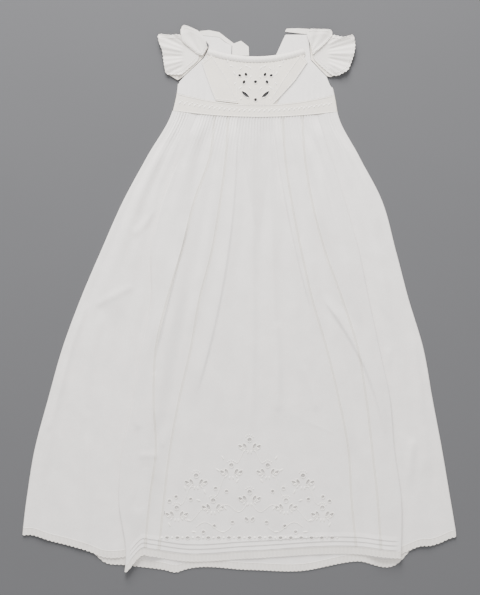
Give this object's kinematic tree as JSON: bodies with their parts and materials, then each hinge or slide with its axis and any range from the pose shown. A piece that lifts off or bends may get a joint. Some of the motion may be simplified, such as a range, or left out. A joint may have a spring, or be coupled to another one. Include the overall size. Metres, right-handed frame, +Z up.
{
  "type": "christening gown",
  "caption": "Long white muslin christening gown laid flat: gathered skirt, whitework front, square neck, frilled short sleeves and scalloped hem.",
  "frame": {"origin": "middle of the bounding box in plan, on the surface that the gown lies on", "axes": "+X to the right of the gown as seen from above, +Y from the hem towards the neck, +Z up from the surface through the cloth"},
  "size_m": [0.7166, 0.9031, 0.01],
  "materials": {
    "white_muslin": "fine plain-woven cotton, matte",
    "whitework_edging": "cotton with raised white embroidery and openwork, matte",
    "embroidered_insertion": "firm cotton with raised white embroidery, matte"
  },
  "bodies": {
    "root": {"back_bodice_left": "white_muslin", "back_bodice_right": "white_muslin", "back_neck_edging_left": "whitework_edging", "back_neck_edging_right": "whitework_edging", "bodice_center": "embroidered_insertion", "bodice_left": "white_muslin", "bodice_right": "white_muslin", "bodice_yoke_left": "embroidered_insertion", "bodice_yoke_right": "embroidered_insertion", "hem_edging_back": "whitework_edging", "hem_edging_front": "whitework_edging", "hem_edging_side_left": "whitework_edging", "hem_edging_side_right": "whitework_edging", "neck_band": "whitework_edging", "robing_left": "embroidered_insertion", "robing_right": "embroidered_insertion", "shoulder_frill_left": "whitework_edging", "shoulder_frill_right": "whitework_edging", "skirt_back": "white_muslin", "skirt_front": "white_muslin", "skirt_gore_inner_left": "white_muslin", "skirt_gore_inner_right": "white_muslin", "skirt_gore_outer_left": "white_muslin", "skirt_gore_outer_right": "white_muslin", "skirt_insertion_inner_left": "whitework_edging", "skirt_insertion_inner_right": "whitework_edging", "skirt_insertion_outer_left": "whitework_edging", "skirt_insertion_outer_right": "whitework_edging", "skirt_side_left": "white_muslin", "skirt_side_right": "white_muslin", "sleeve_frill_left": "whitework_edging", "sleeve_frill_right": "whitework_edging", "sleeve_left": "embroidered_insertion", "sleeve_right": "embroidered_insertion", "waistband_back_left": "embroidered_insertion", "waistband_back_right": "embroidered_insertion", "waistband_front": "embroidered_insertion"}
  },
  "joints": []
}
